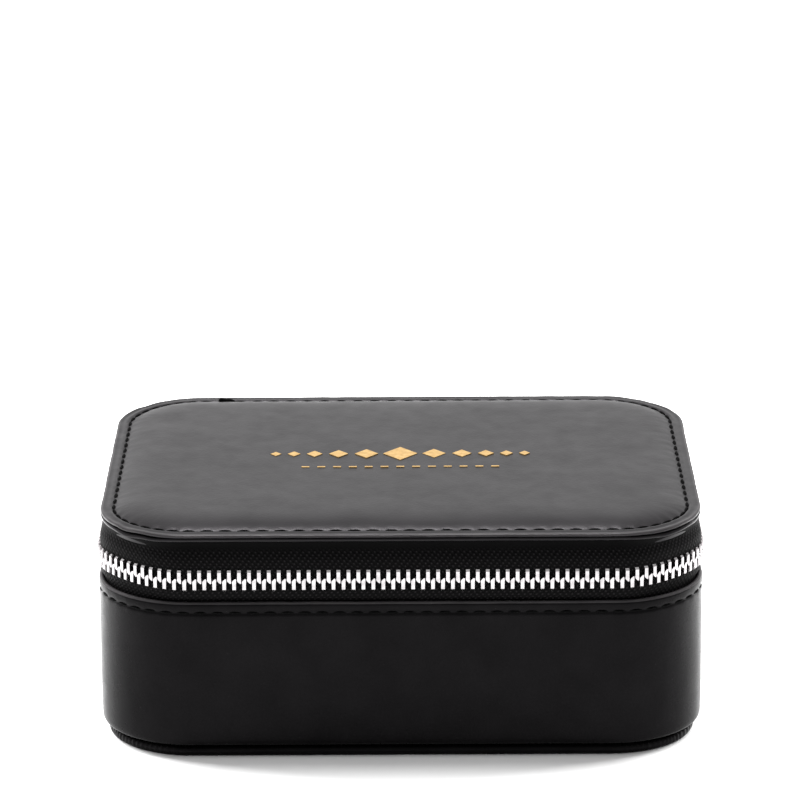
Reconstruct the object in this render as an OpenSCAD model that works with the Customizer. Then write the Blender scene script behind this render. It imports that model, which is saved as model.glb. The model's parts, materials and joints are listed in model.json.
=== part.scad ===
// Zip-round leather jewellery case: a padded lid and a box base, joined by a leather hinge at the
// back and closed by a metal zip that runs round the front, the sides and both back corners.
// Millimetres. +Z up, the front faces -Y, and the origin is the centre of the underside.

/* [Case] */
// Width of the case, left to right
case_w = 120; // [110:1:140]
// Depth of the case, front to back
case_d = 90; // [84:1:110]
// Radius of the case's corners
corner_r = 18.5; // [16:0.5:22]
// Height of the top of the leather side wall
wall_top = 32.8; // [30:0.1:34]
// Height of the line where the lid and the base meet
part_z = 37.3; // [36.5:0.1:38]
// Height of the underside of the lid's stitched edge
plate_z = 45.2; // [45:0.1:48]

/* [Layers] */
// Thickness of the leather
leather_t = 0.7; // [0.6:0.1:1]
// Thickness of the side wall's turned leather
wall_t = 1.0; // [0.8:0.1:1.2]
// Rise of the padded field above the lid's stitched edge
crown = 1.2; // [0.6:0.1:2]
// Width of the flat stitched border round the padded field
border_w = 4; // [3:0.5:6]
// Width of the gold ornament in the middle of the lid
ornament_w = 54; // [30:1:70]
// Thickness of the suede linings
suede_t = 0.6; // [0.4:0.1:0.8]

/* [Inside] */
// Number of ring rolls
rolls = 6; // [5:1:7]
// Height of the top of the dividers
divider_top = 29; // [24:1:30]
// Thickness of the dividers
divider_t = 2; // [1.6:0.2:2.4]
// Centre of the divider beside the ring rolls
ring_wall_x = -21; // [-24:1:-18]
// Centre of the divider between the front and back compartments
long_wall_y = 3; // [-4:1:8]
// Centre of the divider between the two back compartments
cross_wall_x = 17; // [10:1:24]

/* [Zip] */
// Distance between two teeth of one row
tooth_pitch = 2.0; // [1.8:0.1:2.4]
// Width of the closed row of teeth
chain_w = 4.4; // [4.2:0.1:4.6]
// Half the width of the leather hinge between the ends of the zip
hinge_half = 17.5; // [14:0.5:19]

/* [Hidden] */
$fn = 48;
skin = 0.05;             // how far a cutting shape passes a face
foot_h = 1.8;            // base panel
wall_z = 2.7;            // underside of the side wall, above the dark groove
floor_z = 3.3;           // underside of the floor board
floor_t = 1.5;
lining_z = floor_z + floor_t;
pad_z = lining_z + suede_t;
pad_t = 2;
contents_z = pad_z + pad_t;
foot_inset = 1.2;
groove_inset = 3;
board_inset = 1.7;       // outer face of the wall board
board_top = 32;
board_t = 1.3;
rim_inset = 4;           // outer face of the lid rim and of the collar
rim_t = 1.2;
lining_inset = rim_inset + rim_t;
room_inset = lining_inset + suede_t;
collar_top = part_z - 0.7;
rim_z = part_z + 0.7;    // lower end of the lid rim
lid_board_t = 1.8;
lid_ceiling = plate_z - lid_board_t;         // underside of the lid board
lid_room_z = lid_ceiling - suede_t;          // face of the lid's lining
flange_z = plate_z + leather_t;              // underside of the lid's top leather
flange_top = flange_z + leather_t;
seam_inset = 3;          // stitched seam in the lid's border
stitch_z = wall_top - 2.2;
thread_w = 0.5;
thread_deep = 0.2;
thread_proud = 0.1;
tape_t = 0.5;
tape_inset = 0.35;       // outer face of the tape beside the teeth
tape_gap = 0.6;          // from the parting line to the tape's edge
tape_flat = 3.5;         // from the parting line to the tape's bend
tape_seat = 1.3;         // outer face of the tape where it meets the lid's edge
tape_behind = wall_t + 0.05;                 // outer face of the tape inside the wall
tuck_z = wall_top - 8.8; // lower end of the tape and of the hinge inside the wall
tooth_inset = tape_inset + tape_t / 2;
tooth_deep = 2.2;
tooth_w = 0.84;
tooth_lap = 0.35;        // how far a tooth's head passes the parting line
slide_l = 9;
slide_half = 2.9;        // half the slider's height
slide_gap = 1.25;        // from the tape's middle to the slider's plates
slide_plate = 0.8;
slide_x = hinge_half + 8;
straight_x = case_w / 2 - corner_r;
straight_y = case_d / 2 - corner_r;
chain_start = hinge_half + 6.9;              // first pair of teeth, inside the slider
arc_l = (corner_r - tooth_inset) * PI / 2;
run_1 = straight_x - chain_start;            // back right
run_2 = run_1 + arc_l;
run_3 = run_2 + 2 * straight_y;              // right side
run_4 = run_3 + arc_l;
run_5 = run_4 + 2 * straight_x;              // front
run_6 = run_5 + arc_l;
run_7 = run_6 + 2 * straight_y;              // left side
run_8 = run_7 + arc_l;
run_9 = run_8 + straight_x - hinge_half - 2; // back left
tape_y = case_d / 2 - tooth_inset;
bail_y = tape_y + 3.75;
bail_r = 0.55;
bail_half = 3.1;         // half the bail's width
foil_t = 0.1;
pull_l = 17;             // from the bail's bar to the centre of the puller's round end
pull_r = 2.4;
pull_t = 1;
tab_y = -33;             // fold line of the necklace tabs
tab_l = 10;
tab_t = 0.9;
tab_w = 8;
tab_step = 24;
tab_z = lid_room_z - 2.1;                    // fold line's height
pocket_y = -8;           // mouth of the lid's pocket
snap_y = tab_y + tab_l - 3.6;

// ---- shared shapes ----

// The case's plan, moved in by inset
module plan(inset) {
    r = corner_r - inset;
    square([case_w - 2 * inset, 2 * straight_y], center = true);
    square([2 * straight_x, case_d - 2 * inset], center = true);
    for (sx = [-1, 1], sy = [-1, 1])
        translate([sx * straight_x, sy * straight_y]) circle(r);
}

module slab(inset, z0, z1) {
    translate([0, 0, z0]) linear_extrude(z1 - z0) plan(inset);
}

// A wall between two insets
module band(inset, t, z0, z1) {
    difference() {
        slab(inset, z0, z1);
        slab(inset + t, z0 - skin, z1 + skin);
    }
}

// Carries a profile of [inset, height] points right round the case
module carried_round(profile) {
    section = [for (p = profile) [corner_r - p[0], p[1]]];
    for (turn = [0, 180]) rotate([0, 0, turn]) {
        translate([straight_x, straight_y, 0]) rotate_extrude(angle = 90) polygon(section);
        translate([straight_x, -straight_y, 0]) rotate([0, 0, -90])
            rotate_extrude(angle = 90) polygon(section);
        translate([straight_x, straight_y, 0]) rotate([90, 0, 0])
            linear_extrude(2 * straight_y) polygon(section);
        rotate([0, 0, 90]) translate([straight_y, straight_x, 0]) rotate([90, 0, 0])
            linear_extrude(2 * straight_x) polygon(section);
    }
}

module box_between(low, high) {
    translate(low) cube(high - low);
}

// ---- the zip's path, measured from its closed end at the back right ----

// [x, y, direction] of a point on one corner, where a is the angle turned so far
function on_corner(sx, sy, from, a) =
    [sx * straight_x + (corner_r - tooth_inset) * cos(from - a),
     sy * straight_y + (corner_r - tooth_inset) * sin(from - a), from - a - 90];

function on_path(s) =
    s < run_1 ? [chain_start + s, tape_y, 0]
    : s < run_2 ? on_corner(1, 1, 90, (s - run_1) / arc_l * 90)
    : s < run_3 ? [case_w / 2 - tooth_inset, straight_y - (s - run_2), -90]
    : s < run_4 ? on_corner(1, -1, 0, (s - run_3) / arc_l * 90)
    : s < run_5 ? [straight_x - (s - run_4), -tape_y, -180]
    : s < run_6 ? on_corner(-1, -1, -90, (s - run_5) / arc_l * 90)
    : s < run_7 ? [-case_w / 2 + tooth_inset, -straight_y + (s - run_6), -270]
    : s < run_8 ? on_corner(-1, 1, -180, (s - run_7) / arc_l * 90)
    : [-straight_x + (s - run_8), tape_y, -360];

// One tooth, its foot up for the lid's row and down for the base's row
module tooth(up) {
    half = tooth_w / 2;
    mirror([0, 0, up ? 0 : 1]) rotate([90, 0, 0]) linear_extrude(tooth_deep, center = true)
        polygon([[-half, chain_w / 2], [half, chain_w / 2], [half, tooth_lap],
                 [half * 0.7, -tooth_lap], [-half * 0.7, -tooth_lap], [-half, tooth_lap]]);
}

// The teeth of one row between two distances along the path
module teeth(up, from, to) {
    shift = up ? 0 : tooth_pitch / 2;
    first = ceil((from - shift) / tooth_pitch);
    last = floor((to - shift - 0.01) / tooth_pitch);
    for (k = [first:last]) {
        p = on_path(k * tooth_pitch + shift);
        translate([p[0], p[1], part_z]) rotate([0, 0, p[2]]) tooth(up);
    }
}

// A tape's profile: its line of [inset, height] points on the outer face, and back along the inner
function tape_profile(line) = concat(line,
    [for (k = [len(line) - 1:-1:0]) [line[k][0] + tape_t, line[k][1]]]);

upper_tape = tape_profile([
    [tape_inset, part_z + tape_gap], [tape_inset, part_z + tape_flat],
    [tape_seat, plate_z - 0.8], [tape_seat, plate_z]
]);
lower_tape = tape_profile([
    [tape_inset, part_z - tape_gap], [tape_inset, part_z - tape_flat],
    [tape_behind, wall_top + 0.1], [tape_behind, tuck_z]
]);

// The part of the back between two x values, right through the wall
module back_window(x0, x1) {
    box_between([x0, straight_y, 0], [x1, case_d, 2 * plate_z]);
}

// A metal stop clamped on one tape, where z0 is its lower face
module tape_stop(x, z0) {
    box_between([x, tape_y - 0.9, z0], [x + 1.4, tape_y + 0.9, z0 + 1.9]);
}

// ---- base ----

module base_cover() color("#141416") difference() {
    slab(foot_inset, 0, foot_h);
    slab(foot_inset + leather_t, leather_t, foot_h + skin);
}

module base_board() color("#6b5a48") slab(foot_inset + leather_t, leather_t, foot_h);

module base_filler() color("#0c0c0d") slab(groove_inset, foot_h, wall_z);

module floor_board() color("#6b5a48") slab(board_inset + board_t, floor_z, lining_z);

// Side wall leather with the edge that turns in under the floor board
module wall_leather() color("#17171a") difference() {
    union() {
        band(0, wall_t, wall_z, wall_top);
        band(wall_t - skin, 6, wall_z, floor_z);
    }
    band(-thread_proud, thread_proud + thread_deep,
         stitch_z - thread_w / 2, stitch_z + thread_w / 2);
}

// The seam thread that holds the zip tape and the hinge to the wall
module wall_thread() color("#1c1c1e")
    band(-thread_proud, thread_proud + thread_deep,
         stitch_z - thread_w / 2, stitch_z + thread_w / 2);

module wall_padding() color("#3a3a3c") band(wall_t, leather_t, floor_z, tuck_z - 0.2);

module wall_board() color("#6b5a48") band(board_inset, board_t, floor_z, board_top);

module inner_collar() color("#6b5a48") band(rim_inset, rim_t, lining_z, collar_top);

module base_lining() color("#b9aa9b") difference() {
    slab(lining_inset, lining_z, collar_top);
    slab(room_inset, pad_z, collar_top + skin);
}

// A compartment's floor pad between two corners of the plan
module floor_pad(low, high) color("#c4b6a8") intersection() {
    slab(room_inset + 0.2, pad_z, contents_z);
    box_between([low[0], low[1], 0], [high[0], high[1], contents_z + 1]);
}

module pad_front() floor_pad([ring_wall_x + 1.2, -case_d / 2], [case_w / 2, long_wall_y - 1.2]);
module pad_back_left()
    floor_pad([ring_wall_x + 1.2, long_wall_y + 1.2], [cross_wall_x - 1.2, case_d / 2]);
module pad_back_right()
    floor_pad([cross_wall_x + 1.2, long_wall_y + 1.2], [case_w / 2, case_d / 2]);
module pad_rings() floor_pad([-case_w / 2, -case_d / 2], [ring_wall_x - 1.2, case_d / 2]);

// One padded ring roll: a round top on a straight body, cut to the case's round corners
module ring_roll(n) color("#cbbdae") {
    pitch = (case_d - 2 * room_inset) / rolls;
    r = pitch / 2 - 0.2;
    y = -case_d / 2 + room_inset + (n - 0.5) * pitch;
    top = divider_top - 0.8;
    x1 = ring_wall_x - divider_t / 2 - 0.3;
    intersection() {
        slab(room_inset + 0.3, contents_z, top + 1);
        union() {
            box_between([-case_w / 2, y - r, contents_z], [x1, y + r, top - r]);
            translate([-case_w / 2, y, top - r]) rotate([0, 90, 0])
                cylinder(r = r, h = x1 + case_w / 2);
        }
    }
}

// A divider board with a round top edge, from the plan point a to b
module divider(a, b) color("#b9aa9b") {
    r = divider_t / 2;
    dir = b - a;
    length = norm(dir);
    intersection() {
        slab(room_inset + 0.1, pad_z, divider_top + 1);
        translate([a[0], a[1], 0]) rotate([0, 0, atan2(dir[1], dir[0])]) {
            box_between([0, -r, pad_z], [length, r, divider_top - r]);
            translate([0, 0, divider_top - r]) rotate([0, 90, 0]) cylinder(r = r, h = length);
        }
    }
}

module divider_rings() divider([ring_wall_x, -case_d / 2], [ring_wall_x, case_d / 2]);
module divider_long()
    divider([ring_wall_x + divider_t / 2 + 0.1, long_wall_y], [case_w / 2, long_wall_y]);
module divider_cross()
    divider([cross_wall_x, long_wall_y + divider_t / 2 + 0.1], [cross_wall_x, case_d / 2]);

module zip_tape_lower() color("#101012") difference() {
    carried_round(lower_tape);
    back_window(-hinge_half - 0.5, hinge_half + 0.5);
}

module zip_teeth_lower() color("#d9d9dc") teeth(false, run_1, run_9);
module zip_teeth_end_lower() color("#d9d9dc") teeth(false, 0, run_1);
module zip_top_stop_lower() color("#d9d9dc") tape_stop(hinge_half + 1.2, part_z - 2.2);

// The stop at the opening end, which holds the lower tape and stands below the parting line
module zip_bottom_stop() color("#d9d9dc")
    mirror([1, 0, 0]) tape_stop(hinge_half + 0.4, part_z - 2.2);

// The leather that carries the lid, sewn inside the wall and under the lid's edge
module hinge_strip() color("#17171a") {
    y = case_d / 2;
    translate([-hinge_half, 0, 0]) rotate([90, 0, 90]) linear_extrude(2 * hinge_half)
        polygon([[y - 0.1, plate_z - 0.3], [y - 0.1, wall_top + 0.8],
                 [y - tape_behind, wall_top + 0.1], [y - tape_behind, tuck_z],
                 [y - tape_behind - 0.55, tuck_z], [y - tape_behind - 0.55, wall_top + 0.3],
                 [y - 0.9, wall_top + 1.2], [y - 0.9, plate_z - 0.3]]);
}

// ---- lid ----

module lid_leather() color("#232326") difference() {
    union() {
        slab(0, flange_z, flange_top);
        slab(border_w, flange_top - skin, flange_top + crown);
    }
    slab(border_w + leather_t, flange_z - skin, flange_top + crown - leather_t);
    band(seam_inset, thread_w, flange_top - thread_deep, flange_top + thread_proud);
}

// The seam thread round the lid's border
module lid_thread() color("#1c1c1e")
    band(seam_inset, thread_w, flange_top - thread_deep, flange_top + thread_proud);

// The gold foil ornament: a lozenge between two tapering rules with a dot past each end
module lid_ornament() color("#c9a24a")
translate([0, 0, flange_top + crown]) linear_extrude(foil_t) {
    reach = ornament_w / 2;
    polygon([[-4.2, 0], [0, 4.2], [4.2, 0], [0, -4.2]]);
    for (side = [0, 1]) mirror([side, 0, 0]) {
        polygon([[6.2, -0.55], [6.2, 0.55], [reach - 2.4, 0.2], [reach - 2.4, -0.2]]);
        translate([reach - 0.7, 0]) circle(r = 0.7);
    }
}

module lid_foam() color("#3a3a3c")
    slab(border_w + leather_t, flange_z, flange_top + crown - leather_t);

module lid_underlay() color("#141416") slab(0.15, plate_z, flange_z);

module lid_board() color("#6b5a48") slab(2, lid_ceiling, plate_z);

module lid_rim() color("#6b5a48") band(rim_inset, rim_t, rim_z, lid_ceiling);

module lid_lining() color("#b9aa9b") difference() {
    slab(lining_inset, rim_z, lid_ceiling);
    slab(room_inset, rim_z - skin, lid_room_z);
}

// The pocket's panel, sewn to the lining along three sides by its edge
module lid_pocket() color("#c4b6a8") difference() {
    intersection() {
        slab(room_inset + 1.2, lid_room_z - 1.8, lid_room_z);
        box_between([-case_w / 2, pocket_y, 0], [case_w / 2, case_d / 2, plate_z]);
    }
    intersection() {
        slab(room_inset + 2.4, lid_room_z - 1.1, lid_room_z + skin);
        box_between([-case_w / 2, pocket_y - 1, 0], [case_w / 2, case_d / 2, plate_z]);
    }
}

// The pocket's gathered mouth with the elastic in its hem
module lid_pocket_elastic() color("#a8998a") {
    x = case_w / 2 - room_inset - 1.4;
    box_between([-x, pocket_y - 4, lid_room_z - 2], [x, pocket_y, lid_room_z - 0.9]);
}

// The leather strip under the lid, with the folds that the necklace tabs hang from
module hook_strip() color("#17171a") {
    reach = tab_step + 14;
    box_between([-reach, tab_y - 3, lid_room_z - 0.8], [reach, tab_y + tab_l + 2, lid_room_z]);
    for (n = [-1:1])
        box_between([n * tab_step - tab_w / 2, tab_y - 0.6, tab_z + tab_t / 2 + 0.1],
                    [n * tab_step + tab_w / 2, tab_y + 0.6, lid_room_z - 0.8 + skin]);
}

module snap_sockets() color("#d9d9dc") for (n = [-1:1])
    translate([n * tab_step, snap_y, lid_room_z - 1.2]) cylinder(r = 2.4, h = 0.4);

module zip_tape_upper() color("#101012") difference() {
    carried_round(upper_tape);
    back_window(-hinge_half - 0.5, straight_x);
}

module zip_tape_end_upper() color("#101012") intersection() {
    carried_round(upper_tape);
    back_window(hinge_half + 0.5, straight_x);
}

module zip_teeth_upper() color("#d9d9dc") teeth(true, run_1, run_9);
module zip_teeth_end_upper() color("#d9d9dc") teeth(true, 0, run_1);
module zip_top_stop_upper() color("#d9d9dc") tape_stop(hinge_half + 1.2, part_z + 0.3);

// A necklace tab: a leather tongue that folds down about the round bead at its front end
module necklace_tab(n) color("#17171a") {
    x = (n - 2) * tab_step;
    translate([x - tab_w / 2, tab_y, tab_z]) rotate([0, 90, 0])
        cylinder(r = tab_t / 2, h = tab_w);
    difference() {
        union() {
            box_between([x - tab_w / 2, tab_y, tab_z - tab_t / 2],
                        [x + tab_w / 2, snap_y, tab_z + tab_t / 2]);
            translate([x, snap_y, tab_z - tab_t / 2]) cylinder(r = tab_w / 2, h = tab_t);
        }
        translate([x, snap_y, tab_z - tab_t]) cylinder(r = 1, h = 2 * tab_t);
    }
}

// A snap's cap under the tab with the stem that goes up through the leather
module snap_cap(n) color("#d9d9dc") translate([(n - 2) * tab_step, snap_y, 0]) {
    translate([0, 0, tab_z - tab_t / 2 - 0.7]) cylinder(r = 2.6, h = 0.7);
    translate([0, 0, tab_z - tab_t / 2 - skin]) cylinder(r = 0.95, h = tab_t + skin);
}

// ---- slider ----

// Two plates joined by the post between the rows, with lips that hold the teeth
module zip_slider() color("#d9d9dc") translate([slide_x, tape_y, part_z]) {
    outline = [[-slide_l / 2, -2.2], [-slide_l / 2, 2.2], [-slide_l / 2 + 0.8, slide_half],
               [slide_l / 2 - 0.6, slide_half], [slide_l / 2, 2.5], [slide_l / 2, -2.5],
               [slide_l / 2 - 0.6, -slide_half], [-slide_l / 2 + 0.8, -slide_half]];
    for (side = [0, 1]) mirror([0, side, 0]) {
        translate([0, slide_gap + slide_plate, 0]) rotate([90, 0, 0])
            linear_extrude(slide_plate) polygon(outline);
        for (end = [0, 1]) mirror([0, 0, end])
            box_between([-slide_l / 2 + 0.8, 0.45, 2.4],
                        [slide_l / 2 - 0.6, slide_gap + skin, slide_half]);
    }
    box_between([-slide_l / 2 + 0.4, -slide_gap - skin, -0.5],
                [-slide_l / 2 + 2.4, slide_gap + skin, 0.5]);
}

module zip_slider_bail() color("#d9d9dc") translate([slide_x, 0, part_z]) {
    for (side = [0, 1]) mirror([side, 0, 0])
        box_between([bail_half - 0.8, tape_y + slide_gap + slide_plate, -0.7],
                    [bail_half, bail_y + bail_r, 0.7]);
    translate([-bail_half + skin, bail_y, 0]) rotate([0, 90, 0])
        cylinder(r = bail_r, h = 2 * (bail_half - skin));
}

// The pull: a barrel on the bail's bar, and the tab that hangs from it
module zip_puller() color("#d9d9dc") translate([slide_x, bail_y, part_z]) difference() {
    union() {
        translate([-1.8, 0, 0]) rotate([0, 90, 0]) cylinder(r = 1.25, h = 3.6);
        box_between([-1.4, -pull_t / 2, -4], [1.4, pull_t / 2, 0]);
        box_between([-pull_r, -pull_t / 2, -pull_l], [pull_r, pull_t / 2, -4]);
        for (z = [-4, -pull_l])
            translate([0, pull_t / 2, z]) rotate([90, 0, 0]) cylinder(r = pull_r, h = pull_t);
    }
    translate([-bail_half, 0, 0]) rotate([0, 90, 0])
        cylinder(r = bail_r + 0.08, h = 2 * bail_half);
}

base_cover();
base_board();
base_filler();
floor_board();
wall_leather();
wall_thread();
wall_padding();
wall_board();
inner_collar();
base_lining();
pad_front();
pad_back_left();
pad_back_right();
pad_rings();
for (n = [1:rolls]) ring_roll(n);
divider_rings();
divider_long();
divider_cross();
zip_tape_lower();
zip_teeth_lower();
zip_teeth_end_lower();
zip_top_stop_lower();
zip_bottom_stop();
hinge_strip();
lid_leather();
lid_thread();
lid_ornament();
lid_foam();
lid_underlay();
lid_board();
lid_rim();
lid_lining();
lid_pocket();
lid_pocket_elastic();
hook_strip();
snap_sockets();
zip_tape_upper();
zip_tape_end_upper();
zip_teeth_upper();
zip_teeth_end_upper();
zip_top_stop_upper();
for (n = [1:3]) necklace_tab(n);
for (n = [1:3]) snap_cap(n);
zip_slider();
zip_slider_bail();
zip_puller();
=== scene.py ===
import json
import math

import bmesh
import bpy
import numpy as np
from mathutils import Matrix, Vector, noise


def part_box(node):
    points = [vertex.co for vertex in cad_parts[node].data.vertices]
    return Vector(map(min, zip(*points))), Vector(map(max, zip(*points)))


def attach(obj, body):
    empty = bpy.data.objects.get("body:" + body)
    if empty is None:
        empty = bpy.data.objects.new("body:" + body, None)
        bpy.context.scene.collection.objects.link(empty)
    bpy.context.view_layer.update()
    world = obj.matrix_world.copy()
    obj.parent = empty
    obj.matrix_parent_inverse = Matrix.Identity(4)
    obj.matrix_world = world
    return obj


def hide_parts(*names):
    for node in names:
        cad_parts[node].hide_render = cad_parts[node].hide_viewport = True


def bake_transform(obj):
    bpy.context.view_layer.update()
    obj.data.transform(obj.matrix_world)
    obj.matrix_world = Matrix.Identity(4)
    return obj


# The looks of the zip-round leather jewellery case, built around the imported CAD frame.
# Lengths are in millimetres until a mesh is made. "Inset" is how far a point lies inside the
# case's outline, and "distance" runs along the outline from the middle of the back, going right.

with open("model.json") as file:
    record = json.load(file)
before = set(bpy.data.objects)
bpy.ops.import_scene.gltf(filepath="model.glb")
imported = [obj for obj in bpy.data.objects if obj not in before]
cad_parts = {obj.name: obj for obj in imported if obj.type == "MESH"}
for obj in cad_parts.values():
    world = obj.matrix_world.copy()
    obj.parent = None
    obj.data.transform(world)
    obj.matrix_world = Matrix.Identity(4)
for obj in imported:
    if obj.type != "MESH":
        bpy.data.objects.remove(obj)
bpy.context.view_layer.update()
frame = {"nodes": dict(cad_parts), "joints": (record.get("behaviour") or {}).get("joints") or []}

MM = 0.001


def span(node):
    """A CAD node's lowest and highest corners, in millimetres."""
    low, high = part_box(node)
    return low / MM, high / MM


# ---- places taken from the frame ----

HALF_X, HALF_Y = (-v for v in span("wall_leather")[0][:2])
WALL_Z = span("wall_leather")[0].z
WALL_TOP = span("wall_leather")[1].z
LIP_TOP = span("base_cover")[1].z
PLATE_Z = span("lid_underlay")[0].z
FLANGE_Z = span("lid_leather")[0].z
CROWN_Z = span("lid_leather")[1].z
BOARD_Z = span("lid_board")[0].z
STITCH_Z = (span("wall_thread")[0].z + span("wall_thread")[1].z) / 2
HINGE_HALF = span("hinge_strip")[1].x
JOINTS = {j["name"]: j for j in frame["joints"]}
AXIS_Y, PART_Z = (v / MM for v in JOINTS["lid_hinge"]["pos_m"][1:])

CORNER_R = 18.5
ROUND_IN = 10.5          # the inset up to which the outline keeps its round corners' centres
FLANGE_TOP = FLANGE_Z + 0.7     # top of the lid's flat border
SEAM = 3.3               # inset of the seam in the lid's border
STITCH_PITCH = 3.4
TOOTH_PITCH = 1.935
TOOTH_INSET = 0.6        # inset of the middles of the teeth
CHAIN_START = HINGE_HALF + 6.9
SIDE_X = HALF_X - CORNER_R
SIDE_Y = HALF_Y - CORNER_R
GUSSET = 8.0             # how far round the back corner the upper tape's gusset reaches
GUSSET_X = CORNER_R * math.sin(GUSSET / CORNER_R)
PAD_IN, ROLL_IN, POCKET_IN = 6.3, 6.4, 7.2    # their insets in the round corners
CORNER_CUT = 1.1         # how far the zip cuts inside the wall's round corners

# the room's light on each side, and the lamps' strengths
LEFT_LIGHT, RIGHT_LIGHT = 1.35, 0.75
FRONT_LIGHT, BACK_LIGHT = 0.55, 1.12
TOP_LAMP, LEFT_LAMP, RIGHT_LAMP = 2.3, 3.0, 2.2


# ---- the outline ----

def perimeter(inset=0.0):
    return 4 * (SIDE_X + SIDE_Y) + 2 * math.pi * (CORNER_R - inset)


def path(distance, inset=0.0):
    """Points of the outline's inner rectangle, outward directions, and how far round a corner
    each is: 0 on a straight, 0 to 1 round a corner. The arcs are measured at that inset."""
    s = np.atleast_1d(np.asarray(distance, float)) % perimeter(inset)
    arc = (CORNER_R - inset) * math.pi / 2
    base, angle, turn = np.zeros((len(s), 2)), np.full(len(s), math.pi / 2), np.zeros(len(s))
    corners = [(SIDE_X, SIDE_Y), (SIDE_X, -SIDE_Y), (-SIDE_X, -SIDE_Y), (-SIDE_X, SIDE_Y)]
    legs = [SIDE_X, 2 * SIDE_Y, 2 * SIDE_X, 2 * SIDE_Y, SIDE_X]
    start, point, facing = 0.0, np.array([0.0, SIDE_Y]), math.pi / 2
    for k, leg in enumerate(legs):
        along = np.array([math.sin(facing), -math.cos(facing)])
        on = (s >= start) & (s <= start + leg)
        base[on] = point + along * (s[on] - start)[:, None]
        angle[on] = facing
        start += leg
        if k < 4:
            on = (s > start) & (s < start + arc)
            base[on] = corners[k]
            turn[on] = (s[on] - start) / arc
            angle[on] = facing - turn[on] * math.pi / 2
            start += arc
            point = np.array(corners[k])
            facing -= math.pi / 2
    return base, np.stack([np.cos(angle), np.sin(angle)], 1), turn


def place(base, out, inset):
    """Plan points at those insets. Further in than ROUND_IN the outline shrinks to the middle."""
    inset = np.asarray(inset, float)
    if inset.ndim == 1:
        inset = inset[:, None]
    deep = np.clip((inset - ROUND_IN) / (HALF_Y - ROUND_IN), 0, 1)
    radius = np.where(inset < ROUND_IN, CORNER_R - inset, (CORNER_R - ROUND_IN) * (1 - deep))
    if inset.shape[1] == 1:
        return base * (1 - deep) + out * radius
    return base[:, None] * (1 - deep)[..., None] + out[:, None] * radius[..., None]


def inset_of(x, y):
    """How far a plan point lies inside the outline."""
    dx, dy = abs(x) - SIDE_X, abs(y) - SIDE_Y
    if dx > 0 and dy > 0:
        return CORNER_R - math.hypot(dx, dy)
    return min(HALF_X - abs(x), HALF_Y - abs(y))


def around(step, corner_step=None):
    """Distances right round the case, closer together in the corners."""
    corner_step = corner_step or step
    arc = CORNER_R * math.pi / 2
    runs = [(SIDE_X, step), (arc, corner_step), (2 * SIDE_Y, step), (arc, corner_step),
            (2 * SIDE_X, step), (arc, corner_step), (2 * SIDE_Y, step), (arc, corner_step),
            (SIDE_X, step)]
    marks, start = [], 0.0
    for length, each in runs:
        count = max(1, round(length / each))
        marks += [start + length * k / count for k in range(count)]
        start += length
    return np.array(marks)


# ---- meshes ----

def finish_mesh(mesh, sharp=40.0):
    """Joins doubled points, turns the faces outward and shades them smooth up to sharp degrees."""
    bm = bmesh.new()
    bm.from_mesh(mesh)
    bmesh.ops.remove_doubles(bm, verts=bm.verts, dist=1e-7)
    bmesh.ops.recalc_face_normals(bm, faces=bm.faces)
    bm.to_mesh(mesh)
    bm.free()
    mesh.polygons.foreach_set("use_smooth", [True] * len(mesh.polygons))
    mesh.set_sharp_from_angle(angle=math.radians(sharp))
    return mesh


def solid(name, points, faces, uv=None, sharp=40.0):
    """An object from points in millimetres. uv holds one (u, v) in millimetres for each corner."""
    mesh = bpy.data.meshes.new(name)
    mesh.from_pydata((np.asarray(points, float) * MM).tolist(), [], faces)
    if uv is not None:
        layer = mesh.uv_layers.new(name="cloth")
        layer.data.foreach_set("uv", (np.asarray(uv, float) * MM).ravel())
    finish_mesh(mesh, sharp)
    piece = bpy.data.objects.new(name, mesh)
    bpy.context.scene.collection.objects.link(piece)
    return piece


def grid_faces(rows, columns, wrap_rows, wrap_columns):
    """The quads of a grid of points, and each quad's corners as (row, column)."""
    quads, corners = [], []
    for i in range(rows if wrap_rows else rows - 1):
        for j in range(columns if wrap_columns else columns - 1):
            four = [(i, j), (i + 1, j), (i + 1, j + 1), (i, j + 1)]
            quads.append([a % rows * columns + b % columns for a, b in four])
            corners += four
    return quads, corners


def tube_faces(rings, sides):
    """The faces of a tube of rings of points, with both of its ends closed."""
    faces, _ = grid_faces(rings, sides, False, True)
    last = (rings - 1) * sides
    return faces + [list(range(sides)), [last + k for k in range(sides)]]


def two_layers(columns, rows, point):
    """A closed form of an under (0) and an upper (1) layer, each a grid of point(u, v, layer)."""
    points, faces = [], []
    count, total = rows + 1, (columns + 1) * (rows + 1)
    for layer in (0, 1):
        points += [point(i / columns, j / rows, layer)
                   for i in range(columns + 1) for j in range(rows + 1)]
        quads, _ = grid_faces(columns + 1, count, False, False)
        faces += [[layer * total + k for k in four] for four in quads]
    rim = ([i * count for i in range(columns)] + [columns * count + j for j in range(rows)]
           + [i * count + rows for i in range(columns, 0, -1)] + list(range(rows, 0, -1)))
    for a, b in zip(rim, rim[1:] + rim[:1]):
        faces.append([a, b, total + b, total + a])
    return points, faces


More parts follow.
